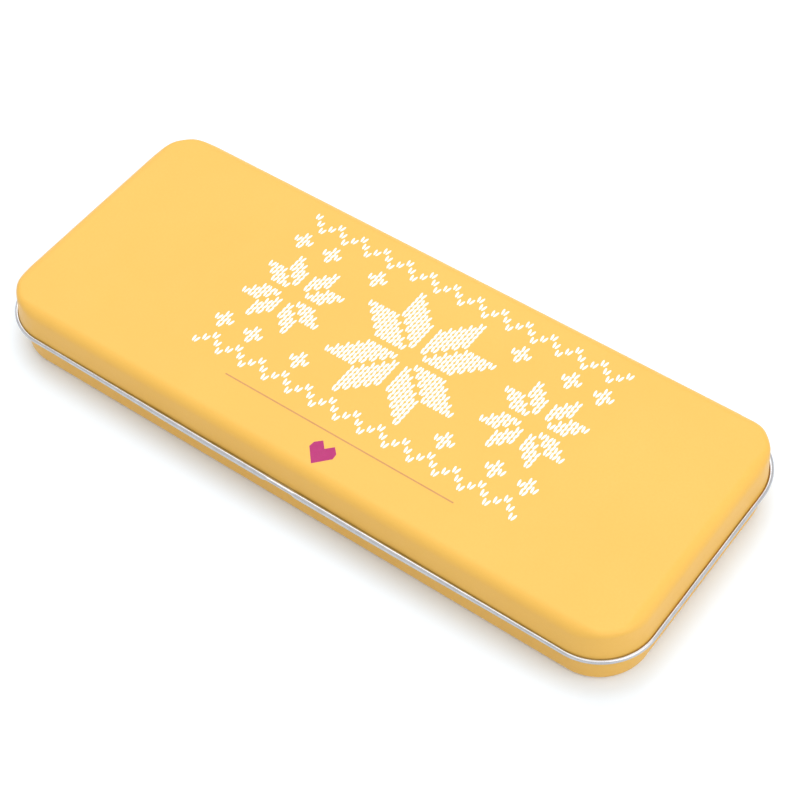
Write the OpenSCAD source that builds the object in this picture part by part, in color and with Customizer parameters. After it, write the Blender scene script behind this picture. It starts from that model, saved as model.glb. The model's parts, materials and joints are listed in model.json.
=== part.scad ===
// Slim hinged tin for knitting needles, drawn from thin tinplate.
// X runs along the case, the hinges are on the +Y side and the thumb notch is on the -Y side.
// The origin is the middle of the underside, at the surface that the case stands on.

/* [Case] */
// Length, measured over the bead
case_l = 200; // [160:1:240]
// Width, measured over the bead
case_w = 81.7; // [60:0.1:110]
// Height of the closed case
case_h = 20.2; // [18:0.1:28]
// Corner radius in plan, measured over the bead
corner_r = 16.3; // [12:0.1:24]
// Thickness of the tinplate
sheet_t = 0.3; // [0.2:0.01:0.35]

/* [Lid] */
// Radius of the shoulder between the lid's wall and its top
shoulder_r = 3.5; // [2:0.1:5]
// How far the lid's wall leans in, in degrees
wall_lean = 9; // [2:0.5:12]

/* [Rolled bead] */
// Diameter of the bead rolled outward along the lid's lower edge
bead_d = 1.8; // [1.6:0.05:2.2]
// Height of the bead's centre, which is also the height of the hinge axis
bead_z = 11.05; // [9.5:0.05:11.5]
// Slit left between the bead's raw edge and the lid's wall
bead_slit = 0.35; // [0.1:0.05:0.5]

/* [Thumb notch] */
// Length of the pressed part of the bead
notch_l = 7.6; // [5:0.1:14]
// Height that is left of the bead where it is pressed
notch_h = 0.95; // [0.8:0.05:1.2]
// Length of the ramp at each end of the notch
notch_ramp = 1.4; // [0.5:0.1:3]
// Place of the notch along the case, from the middle
notch_x = 0; // [-10:0.1:10]

/* [Tray] */
// How far the tray's rim reaches up inside the lid, from the bead's underside
rim_lap = 4.15; // [2.5:0.05:5]
// Diameter of the rim rolled inward along the tray's upper edge
rim_d = 1.4; // [1.2:0.05:2]
// Slit left between the rim's raw edge and the tray's wall
rim_slit = 0.2; // [0.1:0.05:0.4]
// Clearance between the tray's wall and the lid around it, level with the rim
rim_clear = 0.4; // [0.3:0.05:0.8]
// Radius of the tray's lower edge
foot_r = 2.05; // [1:0.05:4]

/* [Hinges] */
// Distance from the end of the case to the middle of the hinge nearest to it
hinge_inset = 38; // [34:0.5:60]
// Length of the knuckle curled from the tray's wall
knuckle_l = 9; // [5:0.5:16]
// Gap beside the knuckle, to the ends of the bead on both sides
knuckle_gap = 0.35; // [0.3:0.05:0.8]
// Slit between the knuckle's raw edge and its own leg
knuckle_slit = 0.2; // [0.1:0.05:0.3]
// Inside radius of the bend where the leg leaves the tray's wall
leg_bend_r = 0.3; // [0.2:0.05:0.6]
// Width of the cut that frees the leg from the wall beside it
relief_w = 0.5; // [0.3:0.05:1]
// How far the pin reaches into the bead on both sides
pin_reach = 7; // [4:0.5:12]
// Running clearance between the pin and the sheet rolled round it
pin_clear = 0.05; // [0.02:0.01:0.09]
// Height of the slot in the lid's wall above the hinge axis
slot_rise = 1.5; // [1.3:0.05:2.5]

/* [Hidden] */
$fn = 96;

print_yellow = "#f6c95f";
bare_steel = "#c9cbd0";

// A length to the nearest thousandth of a millimetre
function to_micron(v) = round(v * 1000) / 1000;

// Rolled edges and the pin that fits in one of them
bead_r = bead_d / 2;
rim_r = rim_d / 2;
pin_r = bead_r - sheet_t - pin_clear;
pin_l = knuckle_l + 2 * (knuckle_gap + pin_reach);
hinge_x = case_l / 2 - hinge_inset;

// Sections are drawn with x = 0 on the bead's outermost line, minus x inward and y up
axis_x = -bead_r;
bead_bottom = bead_z - bead_r;
shoulder_z = case_h - shoulder_r;
wall_reach = bead_r - sheet_t + shoulder_r;
wall_l = (shoulder_z - bead_z + wall_reach * sin(wall_lean)) / cos(wall_lean);
shoulder_x = to_micron(axis_x - wall_reach * cos(wall_lean) - wall_l * sin(wall_lean));

// The tray's wall stands clear of the lid's leaning inner face at the height of the rim
rim_top = bead_bottom + rim_lap;
lid_face_l = (rim_top - bead_z + bead_r * sin(wall_lean)) / cos(wall_lean);
lid_face_x = axis_x - bead_r * cos(wall_lean) - lid_face_l * sin(wall_lean);
tray_x = to_micron(lid_face_x - rim_clear);
rim_z = rim_top - rim_r;

// Centre of the bend where a hinge leg leaves the tray's wall
leg_bend = [tray_x + leg_bend_r, bead_bottom - leg_bend_r];

// Angles at which the rolled edges stop, from the slit that each leaves
bead_stop = 180 + wall_lean - acos((bead_r - sheet_t - bead_slit) / bead_r);
rim_stop = 360 - acos((rim_r - sheet_t - rim_slit) / rim_r);
knuckle_stop = 180 + asin((bead_r - sheet_t - knuckle_slit) / bead_r);

// A margin by which cutting tools pass the sheet that they cut
over = 0.5;
// Bends are drawn this much larger, so that each crosses the flats that it blends with
blend = 0.002;
// Thickness of the end slices that a ramp is drawn between
slice = 0.01;

// Pie slice of a disc between two angles, used to trim a rolled edge
module pie(r, from, to) {
    steps = ceil((to - from) / 60);
    turn = (to - from) / steps;
    polygon(concat([[0, 0]], [for (i = [0:steps]) 2 * r * [cos(from + i * turn), sin(from + i * turn)]]));
}

// Sheet rolled round the origin, r is its outside radius, between two angles
module rolled_sheet(r, from, to) {
    intersection() {
        difference() {
            circle(r = r + blend);
            circle(r = r - sheet_t + blend);
        }
        pie(r, from, to);
    }
}

// A sheet's section is what lies inside its outer face, less what lies inside its inner face.
// The second reaches past the first where no sheet ends, so that only the sheet is left.
function past_edge(inset) = inset > 0 ? over : 0;

// Point of the lid's section, from the bead's centre, across and along the leaning wall
function from_bead(across, along) = [
    axis_x + across * cos(wall_lean) - along * sin(wall_lean),
    bead_z + across * sin(wall_lean) + along * cos(wall_lean)
];

// What lies inside a face of the lid: the wall, the shoulder and the top, and below them round the bead
module inside_lid(inset) {
    grow = past_edge(inset);
    face = bead_r - sheet_t + inset;
    low = bead_r + over + grow;
    difference() {
        union() {
            polygon([
                from_bead(-face, wall_l),
                [shoulder_x, case_h - inset],
                [-corner_r - grow, case_h - inset],
                [-corner_r - grow, bead_z - low],
                from_bead(low, -low),
                from_bead(low, grow),
                from_bead(-face, 0)
            ]);
            translate([shoulder_x, shoulder_z]) circle(r = shoulder_r - inset + blend);
        }
        translate([axis_x, bead_z]) circle(r = face + blend);
    }
}

module lid_section() {
    difference() {
        inside_lid(0);
        inside_lid(sheet_t);
    }
    translate([axis_x, bead_z]) rolled_sheet(bead_r, -45, bead_stop);
}

// What lies inside a face of the tray: the bottom, the lower edge, the wall and the rolled rim
module inside_tray(inset) {
    grow = past_edge(inset);
    polygon([
        [-corner_r - grow, inset],
        [tray_x - foot_r, inset],
        [tray_x - inset, foot_r],
        [tray_x - inset, rim_z],
        [-corner_r - grow, rim_z + grow]
    ]);
    translate([tray_x - foot_r, foot_r]) circle(r = foot_r - inset + blend);
    translate([tray_x - rim_r, rim_z]) circle(r = rim_r - inset + blend);
}

module tray_section() {
    difference() {
        inside_tray(0);
        inside_tray(sheet_t);
    }
    translate([tray_x - rim_r, rim_z]) rolled_sheet(rim_r, 135, rim_stop);
}

// What lies inside a face of a hinge leg: up the tray's wall, out under the lid and round the pin
module inside_leg(inset) {
    grow = past_edge(inset);
    foot_z = leg_bend.y - over - grow;
    back_x = tray_x - sheet_t - over - grow;
    difference() {
        polygon([
            [tray_x - inset, foot_z],
            [tray_x - inset, leg_bend.y],
            [leg_bend.x, bead_bottom + inset],
            [axis_x, bead_bottom + inset],
            [axis_x, bead_z + grow],
            [back_x, bead_z + grow],
            [back_x, foot_z]
        ]);
        translate(leg_bend) circle(r = leg_bend_r + inset + blend);
    }
    translate([axis_x, bead_z]) circle(r = bead_r - inset + blend);
}

module knuckle_section() {
    difference() {
        inside_leg(0);
        inside_leg(sheet_t);
    }
    translate([axis_x, bead_z]) rolled_sheet(bead_r, 45, knuckle_stop);
}

// Carries a section round the case, straight along the sides and turned at the corners
module round_the_case() {
    mid = [case_l / 2 - corner_r, case_w / 2 - corner_r];
    for (side = [0:3]) {
        long_side = side % 2 == 0;
        run = 2 * (long_side ? mid.x : mid.y);
        reach = long_side ? case_w / 2 : case_l / 2;
        rotate(90 * side) translate([-run / 2, reach, 0]) along_x(run) children();
        corner = [mid.x * (side == 0 || side == 3 ? 1 : -1), mid.y * (side < 2 ? 1 : -1)];
        translate(corner) rotate(90 * side)
            rotate_extrude(angle = 90) translate([corner_r, 0]) children();
    }
}

// Extrudes a section along X, with the section's outward side towards +Y
module along_x(length) {
    rotate([90, 0, 90]) linear_extrude(length) children();
}

// Flat sheet between the four corner centres, from height z up
module middle_panel(z) {
    size = [case_l - 2 * corner_r, case_w - 2 * corner_r, sheet_t];
    translate([-size.x / 2, -size.y / 2, z]) cube(size);
}

// Puts a piece at both hinges, with its middle on the hinge and its section at the rear wall
module at_each_hinge(length) {
    for (side = [-1, 1])
        translate([side * hinge_x - length / 2, case_w / 2, 0]) along_x(length) children();
}

// Outline of the bead where it is pressed flat, less an inset all round
module pressed_outline(inset) {
    r = notch_h / 2 - inset;
    flat = bead_d - notch_h;
    for (x = [axis_x - flat / 2, axis_x + flat / 2]) translate([x, 0]) circle(r = r, $fn = 32);
    translate([axis_x - flat / 2, -r]) square([flat, 2 * r]);
}

// Extrudes a section along the front wall from place x, at height z
module on_front(x, z, length) {
    mirror([0, 1, 0]) translate([x, case_w / 2, z]) along_x(length) children();
}

// Thumb notch: the bead pressed flat against the lid's wall, with a ramp at each end
module pressed_bead() {
    pressed_z = bead_z + bead_r - notch_h / 2;
    on_front(notch_x - notch_l / 2, pressed_z, notch_l) difference() {
        pressed_outline(0);
        pressed_outline(sheet_t);
    }
    for (side = [-1, 1]) hull() {
        on_front(notch_x + side * notch_l / 2 - slice, pressed_z, 2 * slice) pressed_outline(slice);
        on_front(notch_x + side * (notch_l / 2 + notch_ramp) - slice, bead_z, 2 * slice)
            translate([axis_x, 0]) circle(r = bead_r - slice, $fn = 32);
    }
}

// Clears the round bead where it is pressed, and leaves the lid's wall down to the bead's middle
module notch_cut() {
    length = notch_l + 2 * notch_ramp;
    slit_middle = from_bead(bead_slit / 2 - bead_r + sheet_t, bead_r);
    on_front(notch_x - length / 2, 0, length) polygon([
        [-bead_d - over, bead_bottom - over],
        [over, bead_bottom - over],
        [over, bead_z + bead_d],
        [slit_middle.x, bead_z + bead_d],
        [slit_middle.x, bead_z],
        [-bead_d - over, bead_z]
    ]);
}

module base_tray() {
    color(print_yellow) {
        difference() {
            union() {
                round_the_case() tray_section();
                middle_panel(0);
            }
            at_each_hinge(knuckle_l + 2 * relief_w)
                translate([tray_x - rim_d - over, leg_bend.y])
                square([rim_d + 2 * over, rim_top]);
        }
        at_each_hinge(knuckle_l) knuckle_section();
    }
}

module lid_shell() {
    color(print_yellow) {
        difference() {
            union() {
                round_the_case() lid_section();
                middle_panel(case_h - sheet_t);
            }
            at_each_hinge(knuckle_l + 2 * knuckle_gap)
                translate([tray_x, bead_bottom - over])
                square([over - tray_x, over + bead_r + slot_rise]);
            notch_cut();
        }
        pressed_bead();
    }
}

// Wire pin of one hinge, side is -1 on the left and 1 on the right
module hinge_pin(side) {
    color(bare_steel)
        translate([side * hinge_x - pin_l / 2, case_w / 2 + axis_x, bead_z])
        rotate([0, 90, 0]) cylinder(r = pin_r, h = pin_l);
}

base_tray();
lid_shell();
hinge_pin(-1);  // hinge_pin_left
hinge_pin(1);  // hinge_pin_right
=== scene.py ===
import json
import math

import bmesh
import bpy
from mathutils import Matrix, Vector, noise


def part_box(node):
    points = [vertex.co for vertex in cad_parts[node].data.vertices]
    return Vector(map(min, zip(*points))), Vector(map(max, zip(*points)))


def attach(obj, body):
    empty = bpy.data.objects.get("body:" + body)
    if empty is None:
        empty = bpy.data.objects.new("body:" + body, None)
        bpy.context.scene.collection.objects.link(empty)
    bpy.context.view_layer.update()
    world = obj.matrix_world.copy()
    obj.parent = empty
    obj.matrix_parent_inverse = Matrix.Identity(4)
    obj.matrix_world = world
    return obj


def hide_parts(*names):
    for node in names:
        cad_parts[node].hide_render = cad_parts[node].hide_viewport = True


MM = 0.001
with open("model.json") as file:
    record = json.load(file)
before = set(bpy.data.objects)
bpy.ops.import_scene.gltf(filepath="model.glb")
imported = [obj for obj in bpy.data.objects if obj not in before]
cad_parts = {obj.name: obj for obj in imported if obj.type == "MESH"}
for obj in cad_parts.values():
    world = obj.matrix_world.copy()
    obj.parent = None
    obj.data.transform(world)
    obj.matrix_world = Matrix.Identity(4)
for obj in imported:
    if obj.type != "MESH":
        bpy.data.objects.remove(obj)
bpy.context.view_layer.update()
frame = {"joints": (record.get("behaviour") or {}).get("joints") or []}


# Sizes read from the frame
def box_mm(node):
    """Lowest and highest corner of a node's box."""
    low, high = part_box(node)
    return low / MM, high / MM


lid_high = box_mm("lid_shell")[1]
tray_high = box_mm("base_tray")[1]
pin_low, pin_high = box_mm("hinge_pin_right")
hinge_axis = Vector(frame["joints"][0]["pos_m"]) / MM

half_l, half_w, case_h = lid_high
bead_z = hinge_axis.z
bead_r = half_w - hinge_axis.y
bead_bottom = bead_z - bead_r
tray_x = tray_high.x - half_l
rim_top = tray_high.z
hinge_x = (pin_low.x + pin_high.x) / 2
pin_l = pin_high.x - pin_low.x
pin_r = (pin_high.z - pin_low.z) / 2

# Sizes repeated from the part's source
corner_r = 16.3
sheet_t = 0.3
shoulder_r = 3.5
wall_lean = 9
bead_slit = 0.35
notch_l = 7.6
notch_h = 0.95
notch_ramp = 1.4
rim_r = 0.7
rim_slit = 0.2
foot_r = 2.05
knuckle_l = 9
knuckle_gap = 0.35
knuckle_slit = 0.2
leg_bend_r = 0.3
relief_w = 0.5
slot_rise = 1.5

# What drawing does to the sheet at the lid's corners: the shoulder keeps the die's small radius
# and the wall stands steeper, most of all at the corner to the right of the hinges
drawn_shoulder_r = 1.7
drawn_from = 4
drawn_turn = 32
drawn_leans = {(1, -1): 6.5, (1, 1): 2, (-1, 1): 6.5, (-1, -1): 6.5}

# How evenly the bead is rolled: it is full at the rear and in the middle of the front, up to one
# length from the middle, and thin past another length and on the short sides
thin_bead_r = 0.65
full_bead_half = 24
thin_bead_half = 76

# Slit that the raw edge leaves to the wall on the front, narrower than elsewhere, and how far and
# over what length all slits wander
front_slit = 0.07
slit_wander = 0.16
slit_wander_l = 9
least_slit = 0.005

# Where the raw edge touches the front wall, beside the thumb notch
touch_x = -10
touch_l = 4

# Steps that the meshes are drawn in
straight_step = 2.6
corner_steps = 30
shoulder_steps = 14
curl_steps = 36
leg_bend_steps = 8
top_steps = 5
wall_steps = 4
ramp_steps = 6
touch_steps = 3

# Points that agree to this many decimals are one vertex
weld_decimals = 4

# On a straight side the way outward runs along its axis by more than this
straight = 0.9999

mid = Vector((half_l - corner_r, half_w - corner_r))
leg_bend = Vector((tray_x + leg_bend_r, bead_bottom - leg_bend_r))

# Kinds of face, in the order of a sheet's materials; the last is the bead's bare face, whose tin is
# painted lighter as a highlight
PRINT, BARE, RAW, BEAD_HIGHLIGHT_PAINTED = range(4)

# Signs of a rectangle's corners, in their order round it
square_corners = ((-1, -1), (1, -1), (1, 1), (-1, 1))


def linked(name, data):
    """A new object in the scene."""
    made = bpy.data.objects.new(name, data)
    bpy.context.scene.collection.objects.link(made)
    return made


def piece_from(bm, name, material):
    """A piece of one material, its faces turned outward."""
    bmesh.ops.recalc_face_normals(bm, faces=bm.faces)
    mesh = bpy.data.meshes.new(name)
    bm.to_mesh(mesh)
    bm.free()
    mesh.materials.append(material)
    return linked(name, mesh)


class SheetMetal:
    """A thin sheet with a printed face and a bare face, built of cells that share their edges.
    A pair is a point of the printed face and the point of the bare face behind it."""

    def __init__(self):
        self.index = {}
        self.points = []
        self.faces = []
        self.open_edges = {}

    def vertex(self, point):
        key = tuple(round(c, weld_decimals) for c in point)
        if key not in self.index:
            self.index[key] = len(self.points)
            self.points.append(Vector(point))
        return self.index[key]

    def cell(self, pairs, bare_kind):
        corners = []
        for printed, bare in pairs:
            corner = (self.vertex(printed), self.vertex(bare))
            if corner not in corners:
                corners.append(corner)
        if len(corners) < 3:
            return
        self.faces.append(([p for p, b in corners], PRINT))
        self.faces.append(([b for p, b in reversed(corners)], bare_kind))
        for one, two in zip(corners, corners[1:] + corners[:1]):
            edge = frozenset((one, two))
            if edge in self.open_edges:
                del self.open_edges[edge]
            else:
                self.open_edges[edge] = (one, two)

    def patch(self, columns, cut=lambda row, column: False, painted_highlight_row=math.inf):
        """Cells between neighbouring columns of pairs, without those that are cut away. From the row
        given last on, the bare face takes the bead's tin, which is painted lighter than the other bare
        tin as a highlight."""
        for c, (left, right) in enumerate(zip(columns, columns[1:])):
            for r in range(len(left) - 1):
                if not cut(r, c):
                    bare_kind = BARE if r < painted_highlight_row else BEAD_HIGHLIGHT_PAINTED
                    self.cell([left[r], right[r], right[r + 1], left[r + 1]], bare_kind)

    def build(self, name, materials):
        for one, two in self.open_edges.values():
            self.faces.append(([one[1], two[1], two[0], one[0]], RAW))
        mesh = bpy.data.meshes.new(name)
        mesh.from_pydata([p * MM for p in self.points], [], [f for f, kind in self.faces])
        for polygon, (_, kind) in zip(mesh.polygons, self.faces):
            polygon.material_index = kind
            polygon.use_smooth = True
        for material in materials:
            mesh.materials.append(material)
        bm = bmesh.new()
        bm.from_mesh(mesh)
        bmesh.ops.recalc_face_normals(bm, faces=bm.faces)
        for edge in bm.edges:
            kinds = {f.material_index for f in edge.link_faces}
            edge.smooth = len(kinds) == 1 or RAW not in kinds
        bm.to_mesh(mesh)
        bm.free()
        return linked(name, mesh)


# Sections: x is 0 on the bead's outermost line and minus inward, y is the height
def arc(centre, printed_r, bare_r, start, stop, steps):
    """Pairs on two circles round one centre."""
    pairs = []
    for k in range(steps + 1):
        a = math.radians(start + (stop - start) * k / steps)
        way = Vector((math.cos(a), math.sin(a)))
        pairs.append((centre + way * printed_r, centre + way * bare_r))
    return pairs


def between(one, two, steps):
    """The pairs that divide the way from one pair to another, without those two."""
    shares = [k / steps for k in range(1, steps)]
    return [(one[0].lerp(two[0], s), one[1].lerp(two[1], s)) for s in shares]


def at_height(one, two, height):
    """The pair at a height on the straight way from one pair to another."""
    share = (height - one[0].y) / (two[0].y - one[0].y)
    return one[0].lerp(two[0], share), one[1].lerp(two[1], share)


def smooth(share):
    """A share from 0 to 1 that leaves both ends gently."""
    share = min(1.0, max(0.0, share))
    return share * share * (3 - 2 * share)


def flat_reach(lean, r):
    """Section x at which the lid's flat top starts, for a wall's lean and a shoulder's radius."""
    a = math.radians(lean)
    rise = case_h - bead_z
    return -bead_r - (bead_r - sheet_t + r) / math.cos(a) - (rise - r) * math.tan(a)


def drawn_corner(station):
    """Lean of the wall and radius of the shoulder where a station is in one of the lid's corners."""
    share = smooth((min(station.turn, 90 - station.turn) - drawn_from) / drawn_turn)
    lean = drawn_leans[(1 if station.at.x > 0 else -1, 1 if station.at.y > 0 else -1)]
    return wall_lean + (lean - wall_lean) * share, shoulder_r + (drawn_shoulder_r - shoulder_r) * share


def bead_radius(station):
    """Radius to which the bead is rolled at a station."""
    if station.on_front():
        away = (abs(station.at.x) - full_bead_half) / (thin_bead_half - full_bead_half)
        share = 1 - smooth(away)
    else:
        share = smooth(station.out.y)
    return thin_bead_r + (bead_r - thin_bead_r) * share


def pressed(point, share):
    """Where a point of the bead goes as the thumb notch presses it up, share is 0 to 1."""
    top = bead_z + bead_r
    height = top - (top - point.y) * notch_h / (2 * bead_r)
    return Vector((point.x, point.y + (height - point.y) * share))


def lid_section(lean, r, roll_r, stop, press):
    """From the flat top over the shoulder and down the wall, then round the bead to its raw edge."""
    a = math.radians(lean)
    bead = Vector((-bead_r, bead_z)) - Vector((math.cos(a), math.sin(a))) * (bead_r - roll_r)
    shoulder = Vector((flat_reach(lean, r), case_h - r))
    middle = (Vector((-corner_r, case_h)), Vector((-corner_r, case_h - sheet_t)))
    bend = arc(shoulder, r, r - sheet_t, 90, lean, shoulder_steps)
    curl = arc(bead, roll_r - sheet_t, roll_r, 180 + lean, 360 + stop, curl_steps)
    slot = at_height(bend[-1], curl[0], bead_z + slot_rise)
    curl = [tuple(pressed(point, press) for point in pair) for pair in curl]
    return (
        [middle] + between(middle, bend[0], top_steps) + bend
        + between(bend[-1], slot, wall_steps) + [slot] + between(slot, curl[0], wall_steps) + curl
    )


# Rows at which the lid's slots and its bead start
SLOT_ROW = 1 + (top_steps - 1) + (shoulder_steps + 1) + (wall_steps - 1)
BEAD_ROW = SLOT_ROW + wall_steps


def tray_section():
    """From the flat underside round the heel and up the wall, then round the rim to its raw edge."""
    foot = Vector((tray_x - foot_r, foot_r))
    rim = Vector((tray_x - rim_r, rim_top - rim_r))
    rim_stop = 360 - math.degrees(math.acos((rim_r - sheet_t - rim_slit) / rim_r))
    middle = (Vector((-corner_r, 0)), Vector((-corner_r, sheet_t)))
    heel = arc(foot, foot_r, foot_r - sheet_t, 270, 360, shoulder_steps)
    roll = arc(rim, rim_r, rim_r - sheet_t, 0, rim_stop, curl_steps)
    leg = at_height(heel[-1], roll[0], leg_bend.y)
    return (
        [middle] + between(middle, heel[0], top_steps) + heel
        + between(heel[-1], leg, wall_steps) + [leg] + between(leg, roll[0], wall_steps) + roll
    )


# Row from which the tray's wall is cut away at the knuckles
LEG_ROW = 1 + (top_steps - 1) + (shoulder_steps + 1) + (wall_steps - 1)


def knuckle_section():
    """From the tray's wall out under the lid and round the pin."""
    pin = Vector((-bead_r, bead_z))
    stop = 180 + math.degrees(math.asin((bead_r - sheet_t - knuckle_slit) / bead_r))
    bend = arc(leg_bend, leg_bend_r, leg_bend_r + sheet_t, 180, 90, leg_bend_steps)
    curl = arc(pin, bead_r, bead_r - sheet_t, -90, stop, curl_steps)
    return bend + between(bend[-1], curl[0], wall_steps) + curl


# Stations round the case, each is a point on the bead's outermost line with its way outward
class Station:
    def __init__(self, at, out, turn=0):
        self.at = at
        self.out = out
        self.turn = turn

    def on_front(self):
        return self.out.y < -straight

    def on_rear(self):
        return self.out.y > straight

    def place(self, point):
        flat = self.at + self.out * point.x
        return Vector((flat.x, flat.y, point.y))

    def column(self, section):
        return [(self.place(printed), self.place(bare)) for printed, bare in section]


def divided(low, high, marks=()):
    """Values from low to high that take in the marks, no further apart than the straight step."""
    stops = sorted({low, high, *(m for m in marks if low < m < high)})
    values = [low]
    for a, b in zip(stops, stops[1:]):
        steps = math.ceil((b - a) / straight_step)
        values += [a + (b - a) * k / steps for k in range(1, steps + 1)]
    return values


knuckle_marks = [knuckle_l / 2, knuckle_l / 2 + knuckle_gap, knuckle_l / 2 + relief_w]
notch_fine = [notch_l / 2 + notch_ramp * k / ramp_steps for k in range(ramp_steps + 1)]
touch_fine = [touch_x + touch_l * k / touch_steps for k in range(-touch_steps - 1, touch_steps + 2)]
long_marks = (
    [s * hinge_x + t * m for s in (-1, 1) for t in (-1, 1) for m in knuckle_marks]
    + [s * m for s in (-1, 1) for m in notch_fine] + touch_fine
)
long_values = divided(-mid.x, mid.x, long_marks)
short_values = divided(-mid.y, mid.y)


def all_stations():
    """Counter-clockwise from the left end of the front, closed on its first station."""
    turns = [k * 90 / corner_steps for k in range(1, corner_steps)]
    sides = [
        (Vector((0, -1)), Vector((1, 0)), long_values, half_w),
        (Vector((1, 0)), Vector((0, 1)), short_values, half_l),
        (Vector((0, 1)), Vector((-1, 0)), [-v for v in reversed(long_values)], half_w),
        (Vector((-1, 0)), Vector((0, -1)), [-v for v in reversed(short_values)], half_l),
    ]
    found = []
    for out, along, values, reach in sides:
        found += [Station(out * reach + along * v, out) for v in values]
        centre = Vector((mid.x * (out.x + along.x), mid.y * (out.y + along.y)))
        for turn in turns:
            way = Matrix.Rotation(math.radians(turn), 2) @ out
            found.append(Station(centre + way * corner_r, way, turn))
    return found + [found[0]]


stations = all_stations()


def near_hinge(x, half):
    """Whether a place along the case is within half a length of either hinge."""
    return any(abs(x - s * hinge_x) < half for s in (-1, 1))


def cut_at_hinges(first_row, half):
    """Cuts the sheet from a row on, over a length at both hinges of the rear wall."""
    def cut(row, column):
        x = (stations[column].at.x + stations[column + 1].at.x) / 2
        return row >= first_row and stations[column].on_rear() and near_hinge(x, half)
    return cut


def middle_panel(sheet, printed_z, bare_z):
    """The flat rectangle that the corners' middles enclose."""
    columns = []
    for x in long_values:
        columns.append([(Vector((x, y, printed_z)), Vector((x, y, bare_z))) for y in short_values])
    sheet.patch(columns)


def notch_press(station):
    """How far the bead is pressed flat at a station, 1 in the thumb notch and 0 away from it."""
    if not station.on_front():
        return 0
    return 1 - smooth((abs(station.at.x) - notch_l / 2) / notch_ramp)


def bead_end(station, lean, roll_r, press):
    """Angle at which the bead's raw edge stops, so that it leaves its slit to the wall."""
    slit = front_slit + (bead_slit - front_slit) * smooth(1 + station.out.y)
    slit += noise.noise(Vector((station.at.x, station.at.y, 0)) / slit_wander_l) * slit_wander
    if station.on_front():
        away = (station.at.x - touch_x) / touch_l
        slit *= 1 - max(press, math.exp(-(away**2)))
    slit = max(slit, least_slit)
    return 180 + lean - math.degrees(math.acos((roll_r - sheet_t - slit) / roll_r))


def lid_shell(materials):
    """The lid's sheet, with a slot for each knuckle."""
    sheet = SheetMetal()
    columns = []
    for station in stations:
        lean, r = drawn_corner(station)
        roll_r = bead_radius(station)
        press = notch_press(station)
        stop = bead_end(station, lean, roll_r, press)
        columns.append(station.column(lid_section(lean, r, roll_r, stop, press)))
    sheet.patch(columns, cut_at_hinges(SLOT_ROW, knuckle_l / 2 + knuckle_gap), BEAD_ROW)
    middle_panel(sheet, case_h, case_h - sheet_t)
    return sheet.build("lid_sheet", materials)


def base_tray(materials):
    """The tray's sheet, with a knuckle bent out of the rear wall at each hinge."""
    sheet = SheetMetal()
    section = tray_section()
    sheet.patch(
        [station.column(section) for station in stations],
        cut_at_hinges(LEG_ROW, knuckle_l / 2 + relief_w),
    )
    middle_panel(sheet, 0, sheet_t)
    rear = [s for s in stations if s.on_rear()]
    for side in (-1, 1):
        held = [s for s in rear if abs(s.at.x - side * hinge_x) < knuckle_l / 2 + sheet_t / 10]
        sheet.patch([station.column(knuckle_section()) for station in held])
    return sheet.build("tray_sheet", materials)


def hinge_pin(name, side, material):
    """Drawn wire with sheared ends."""
    end_chamfer = 0.12
    ring_steps = 32
    profile = [(-pin_l / 2, 0), (-pin_l / 2, pin_r - end_chamfer), (-pin_l / 2 + end_chamfer, pin_r)]
    profile += [(-x, r) for x, r in reversed(profile)]
    bm = bmesh.new()
    rings = []
    for x, r in profile:
        count = ring_steps if r else 1
        turns = [math.tau * k / count for k in range(count)]
        rings.append([
            bm.verts.new(Vector((
                side * hinge_x + x, hinge_axis.y + r * math.cos(t), bead_z + r * math.sin(t)
            )) * MM)
            for t in turns
        ])
    for one, two in zip(rings, rings[1:]):
        for k in range(ring_steps):
            corners = []
            for ring, n in ((one, k), (one, k + 1), (two, k + 1), (two, k)):
                vert = ring[n % len(ring)]
                if vert not in corners:
                    corners.append(vert)
            face = bm.faces.new(corners)
            face.smooth = len(corners) == 4
    return piece_from(bm, name, material)


# Print on the lid: a band of knitted stars in white, a thin rule and a heart below it
print_x = 6.8
band_y = 5.5
stitch_w = 1.9
stitch_h = 1.85
big_star = 5
small_star = 3
star_gap = 3
rule_y = -25
rule_l = 71.1
rule_w = 0.42
heart_y = -31.45
heart_w = 7.3
heart_h = 7.25

# How far a layer of ink stands over the lid's top, and how far it reaches under it
ink_over = 0.012
ink_under = 0.02


def star_stitches(size, centre_column):
    """Eight petals round a point, each a slanted square of stitches."""
    found = []
    for across in range(1, size + 1):
        for out in range(across + 1, across + size + 1):
            for column, row in ((out, across), (across, out)):
                for sx in (-1, 1):
                    for sy in (-1, 1):
                        found.append((centre_column + sx * column, sy * row))
    return found


def diamond_stitches(size, centre_column, centre_row):
    """A diamond's outline with a stitch in its middle."""
    steps = range(-size, size + 1)
    return [
        (centre_column + c, centre_row + r)
        for c in steps for r in steps if abs(c) + abs(r) in (size, 0)
    ]


def band_stitches():
    """Columns and rows of the whole band, with a zigzag border above and below the stars."""
    big, small = 2 * big_star, 2 * small_star
    side = big + star_gap + small + 1
    edge = side + small
    found = star_stitches(big_star, 0)
    for s in (-1, 1):
        found += star_stitches(small_star, s * side)
        for row in (-1, 1):
            found += diamond_stitches(1, s * (big + 2), row * (big - 1))
            found += diamond_stitches(1, s * side, row * (big - 1))
            found += diamond_stitches(1, s * (edge - 1), row * (big - 1))
    border = big + 2
    for column in range(-edge, edge + 1):
        rise = 2 - abs(column % 4 - 2)
        found += [(column, s * (border + rise)) for s in (-1, 1)]
    return sorted(set(found))


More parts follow.
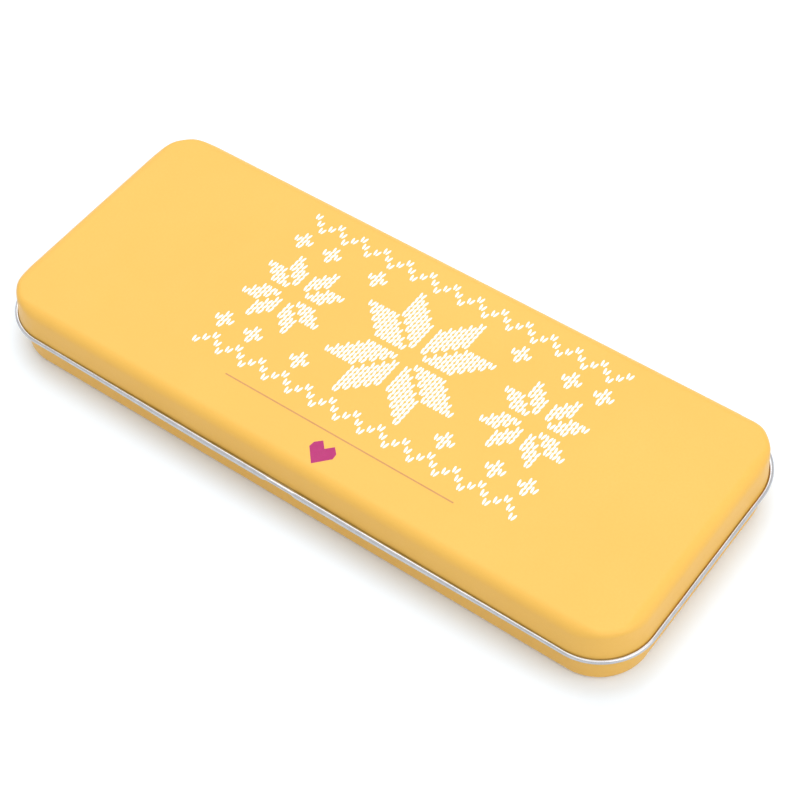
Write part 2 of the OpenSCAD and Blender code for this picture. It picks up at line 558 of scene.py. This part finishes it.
def stitch_outlines(column, row):
    """The two slanted lobes of one knitted stitch."""
    foot = Vector((0.15, -0.58))
    head = Vector((0.36, 0.58))
    width = 0.185
    steps = 6
    along = head - foot
    across = Vector((along.y, -along.x)).normalized()
    outlines = []
    for side in (-1, 1):
        points = []
        for turn in range(2 * steps):
            a = math.pi * turn / steps
            spot = foot + along * (0.5 - 0.5 * math.cos(a)) + across * width * math.sin(a)
            x = print_x + (column + side * spot.x) * stitch_w
            y = band_y + (row + spot.y) * stitch_h
            points.append(Vector((x, y)))
        outlines.append(points)
    return outlines


def heart_outline():
    """A heart cut with straight edges, drawn from shares of its half width and its height."""
    half = heart_w / 2
    dip = 0.24
    right_shares = ((1, 0.05), (0.95, 0.28), (0.5, 0.5))
    right = [Vector((x * half, y * heart_h)) for x, y in right_shares]
    left = [Vector((-p.x, p.y)) for p in reversed(right)]
    outline = [Vector((0, -heart_h / 2))] + right + [Vector((0, dip * heart_h))] + left
    return [p + Vector((print_x, heart_y)) for p in outline]


def rule_outline():
    """A thin straight rule under the band."""
    x, y = rule_l / 2, rule_w / 2
    return [Vector((print_x + a * x, rule_y + b * y)) for a, b in square_corners]


def ink(name, outlines, material):
    """Thin layers of ink on the lid's top, one for each outline."""
    bm = bmesh.new()
    for outline in outlines:
        low = [bm.verts.new(Vector((p.x, p.y, case_h - ink_under)) * MM) for p in outline]
        high = [bm.verts.new(Vector((p.x, p.y, case_h + ink_over)) * MM) for p in outline]
        bm.faces.new(low)
        bm.faces.new(high)
        for k in range(len(outline)):
            n = (k + 1) % len(outline)
            bm.faces.new((low[k], low[n], high[n], high[k]))
    return piece_from(bm, name, material)


# Materials
class Finish:
    """A material with a principled shader, and helpers that feed it."""

    def __init__(self, name, **sockets):
        self.material = bpy.data.materials.new(name)
        self.material.use_nodes = True
        self.tree = self.material.node_tree
        self.shader = self.tree.nodes["Principled BSDF"]
        for socket, value in sockets.items():
            self.shader.inputs[socket.replace("_", " ")].default_value = value
        self.coordinates = self.tree.nodes.new("ShaderNodeTexCoord").outputs["Object"]

    def node(self, kind, inputs, **settings):
        made = self.tree.nodes.new(kind)
        for key, value in settings.items():
            setattr(made, key, value)
        for key, value in inputs.items():
            if isinstance(value, bpy.types.NodeSocket):
                self.tree.links.new(value, made.inputs[key])
            else:
                made.inputs[key].default_value = value
        return made

    def stretched(self, x, y, z):
        """Coordinates that draw a noise out along the axis with the smallest share."""
        mapping = self.node("ShaderNodeMapping", {"Vector": self.coordinates, "Scale": (x, y, z)})
        return mapping.outputs["Vector"]

    def grain(self, size_mm, detail=2, coordinates=None):
        """Noise from 0 to 1 with features of about the given size."""
        made = self.node("ShaderNodeTexNoise", {
            "Vector": coordinates or self.coordinates, "Scale": 1 / (size_mm * MM), "Detail": detail,
        })
        return made.outputs["Fac"]

    def spread(self, value, low, high, from_low=0.3, from_high=0.7):
        """Maps a noise's usual range to the one from low to high."""
        made = self.node("ShaderNodeMapRange", {
            "Value": value, "From Min": from_low, "From Max": from_high, "To Min": low, "To Max": high,
        })
        return made.outputs["Result"]

    def mixed(self, share, one, two):
        """A colour between two, each a socket or a constant."""
        made = self.node("ShaderNodeMix", {}, data_type="RGBA")
        self.tree.links.new(share, made.inputs["Factor"])
        for key, value in (("A", one), ("B", two)):
            socket = next(s for s in made.inputs if s.name == key and s.type == "RGBA")
            if isinstance(value, bpy.types.NodeSocket):
                self.tree.links.new(value, socket)
            else:
                socket.default_value = value
        return next(s for s in made.outputs if s.type == "RGBA")

    def colour(self, socket):
        self.tree.links.new(socket, self.shader.inputs["Base Color"])

    def roughness(self, socket):
        self.tree.links.new(socket, self.shader.inputs["Roughness"])

    def bump(self, height, depth_mm, under=None):
        inputs = {"Height": height, "Distance": depth_mm * MM, "Strength": 1.0}
        if under:
            inputs["Normal"] = under
        return self.node("ShaderNodeBump", inputs).outputs["Normal"]

    def normal(self, socket):
        self.tree.links.new(socket, self.shader.inputs["Normal"])


def rgb(red, green, blue):
    return (red, green, blue, 1)


def printed_lacquer():
    """Yellow lacquer printed on tinplate: an even satin coat with a faint orange peel."""
    finish = Finish("yellow_lacquer", IOR=1.5, Specular_IOR_Level=0.3)
    cloud = finish.spread(finish.grain(38, 3), 0, 1)
    fleck = finish.spread(finish.grain(0.7, 2), 0, 0.35)
    base = finish.mixed(cloud, rgb(0.870, 0.502, 0.096), rgb(0.890, 0.526, 0.106))
    finish.colour(finish.mixed(fleck, base, rgb(0.865, 0.490, 0.088)))
    finish.roughness(finish.spread(finish.grain(9, 3), 0.36, 0.43))
    peel = finish.bump(finish.grain(1.3, 2), 0.0012)
    finish.normal(finish.bump(finish.grain(0.25, 1), 0.0004, peel))
    return finish.material


def bare_tinplate(name, dark, light, smoothest, roughest):
    """Tinplate with a soft spangle and the mill's fine lines along the sheet."""
    finish = Finish(name, Metallic=1.0)
    rolled = finish.stretched(0.03, 1, 1)
    spangle = finish.spread(finish.grain(2.4, 3), 0, 1)
    finish.colour(finish.mixed(spangle, dark, light))
    finish.roughness(finish.spread(finish.grain(1.6, 3), smoothest, roughest))
    finish.normal(finish.bump(finish.grain(0.14, 2, rolled), 0.0008))
    return finish.material


def raw_edge():
    """The sheet's cut edge: grey steel with the marks of the shear across it."""
    finish = Finish("cut_edge", Metallic=1.0)
    marks = finish.grain(0.12, 3)
    finish.colour(finish.mixed(finish.spread(marks, 0, 1), rgb(0.30, 0.29, 0.285), rgb(0.50, 0.49, 0.48)))
    finish.roughness(finish.spread(marks, 0.42, 0.6))
    finish.normal(finish.bump(marks, 0.004))
    return finish.material


def drawn_wire():
    """Steel wire with the die's lines along it."""
    finish = Finish("drawn_wire", Metallic=1.0)
    lines = finish.grain(0.08, 2, finish.stretched(0.02, 1, 1))
    finish.colour(finish.mixed(finish.spread(lines, 0, 1), rgb(0.45, 0.45, 0.46), rgb(0.60, 0.60, 0.61)))
    finish.roughness(finish.spread(lines, 0.25, 0.4))
    finish.normal(finish.bump(lines, 0.0015))
    return finish.material


def printing_ink(name, light, dark):
    """Screen-printed ink: slightly uneven in cover, a little drier than the lacquer under it."""
    finish = Finish(name, IOR=1.5)
    cover = finish.spread(finish.grain(0.9, 3), 0, 1, 0.35, 0.65)
    finish.colour(finish.mixed(cover, dark, light))
    finish.roughness(finish.spread(finish.grain(2, 2), 0.48, 0.56))
    finish.normal(finish.bump(finish.grain(0.3, 2), 0.0006))
    return finish.material


def place(piece, body, slot_name, *nodes):
    """Gives a piece its body and hides the solids that it stands for; the slot name is not used."""
    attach(piece, body)
    if nodes:
        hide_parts(*nodes)


lacquer = printed_lacquer()
tinplate = bare_tinplate("bare_tinplate", rgb(0.40, 0.395, 0.40), rgb(0.47, 0.465, 0.465), 0.27, 0.38)
# The bead's tin is the bare tinplate painted lighter and made smoother: its lighter colour is a painted
# highlight on the bead
painted_highlight_tin = bare_tinplate("bead_tin_painted_highlight", rgb(0.45, 0.445, 0.455), rgb(0.52, 0.515, 0.525), 0.19, 0.26)
cut_edge = raw_edge()
wire = drawn_wire()
white_ink = printing_ink("white_ink", rgb(0.96, 0.95, 0.93), rgb(0.93, 0.915, 0.87))
magenta_ink = printing_ink("magenta_ink", rgb(0.45, 0.006, 0.152), rgb(0.42, 0.004, 0.135))
rule_ink = printing_ink("rule_ink", rgb(0.62, 0.30, 0.10), rgb(0.58, 0.27, 0.09))

place(lid_shell([lacquer, tinplate, cut_edge, painted_highlight_tin]), "lid", "printed_tin", "lid_shell")
place(base_tray([lacquer, tinplate, cut_edge]), "base", "printed_tin", "base_tray")
place(hinge_pin("wire_pin_left", -1, wire), "base", "bare_steel", "hinge_pin_left")
place(hinge_pin("wire_pin_right", 1, wire), "base", "bare_steel", "hinge_pin_right")

stitches = [outline for spot in band_stitches() for outline in stitch_outlines(*spot)]
place(ink("print_stitches", stitches, white_ink), "lid", "printed_tin")
place(ink("print_rule", [rule_outline()], rule_ink), "lid", "printed_tin")
place(ink("print_heart", [heart_outline()], magenta_ink), "lid", "printed_tin")


# Stage: the floor and the lamps are in metres, the camera's place in millimetres
def seen_directly(tree):
    """1 for what the camera sees itself, in a reflection or through glass."""
    path = tree.nodes.new("ShaderNodeLightPath")
    total = path.outputs["Is Camera Ray"]
    for ray in ("Is Glossy Ray", "Is Transmission Ray"):
        add = tree.nodes.new("ShaderNodeMath")
        add.operation = "ADD"
        add.use_clamp = True
        tree.links.new(total, add.inputs[0])
        tree.links.new(path.outputs[ray], add.inputs[1])
        total = add.outputs[0]
    return total


def white_floor():
    """White paper that runs out to pure white in the picture and keeps the case's soft shadow."""
    floor_half = 0.8
    floor_drop = 0.00005
    paper = 0.76
    shown_paper = rgb(0.97, 1.05, 1.13)
    corners = [(a * floor_half, b * floor_half, -floor_drop) for a, b in square_corners]
    mesh = bpy.data.meshes.new("floor")
    mesh.from_pydata(corners, [], [(0, 1, 2, 3)])
    finish = Finish("white_floor")
    colour = finish.mixed(seen_directly(finish.tree), rgb(paper, paper, paper), shown_paper)
    diffuse = finish.node("ShaderNodeBsdfDiffuse", {"Color": colour})
    finish.tree.links.new(
        diffuse.outputs["BSDF"], finish.tree.nodes["Material Output"].inputs["Surface"]
    )
    mesh.materials.append(finish.material)
    linked("floor", mesh)


def softbox(name, azimuth, elevation, side, radiance):
    """A square panel that faces the case, azimuth is counted from +X towards +Y."""
    distance = 2.4
    a, e = math.radians(azimuth), math.radians(elevation)
    way = Vector((math.cos(a) * math.cos(e), math.sin(a) * math.cos(e), math.sin(e)))
    lamp = bpy.data.lights.new(name, "AREA")
    lamp.shape = "SQUARE"
    lamp.size = side
    lamp.energy = 4 * side**2 * radiance
    box = linked(name, lamp)
    box.location = way * distance
    box.rotation_euler = way.to_track_quat("Z", "Y").to_euler()


def studio_world():
    """An even room that is white to the camera and in reflections."""
    room = 0.60
    world = bpy.data.worlds.new("studio")
    world.use_nodes = True
    tree = world.node_tree
    background = tree.nodes["Background"]
    background.inputs["Color"].default_value = rgb(1, 1, 1)
    shown = tree.nodes.new("ShaderNodeMix")
    tree.links.new(seen_directly(tree), shown.inputs["Factor"])
    shown.inputs["A"].default_value = room
    shown.inputs["B"].default_value = 1.0
    tree.links.new(shown.outputs["Result"], background.inputs["Strength"])
    bpy.context.scene.world = world


def photo_camera():
    """The photograph's view, solved from the outlines of the case in it."""
    azimuth, elevation, roll = (math.radians(a) for a in (40.2, 51.4, -4.59))
    distance, shift_x, shift_y = 521.5, -5.28, 2.33
    focal_px, frame_px, sensor = 1993.1, 800, 36
    back = Vector((
        math.sin(azimuth) * math.cos(elevation),
        -math.cos(azimuth) * math.cos(elevation),
        math.sin(elevation),
    ))
    level = Vector((math.cos(azimuth), math.sin(azimuth), 0))
    above = back.cross(level)
    right = level * math.cos(roll) + above * math.sin(roll)
    up = -level * math.sin(roll) + above * math.cos(roll)
    lens = bpy.data.cameras.new("camera")
    lens.sensor_width = sensor
    lens.lens = focal_px / frame_px * sensor
    camera = linked("camera", lens)
    turn = Matrix((right, up, back)).transposed()
    camera.matrix_world = (
        Matrix.Translation((back * distance - right * shift_x + up * shift_y) * MM) @ turn.to_4x4()
    )
    bpy.context.scene.camera = camera


white_floor()
studio_world()
softbox("back_panel", 130, 65, 2.25, 1.25)
softbox("right_panel", 0, 40, 2.0, 0.95)
softbox("front_panel", 310, 65, 2.0, 0.68)
photo_camera()
bpy.context.scene.view_settings.view_transform = "Standard"
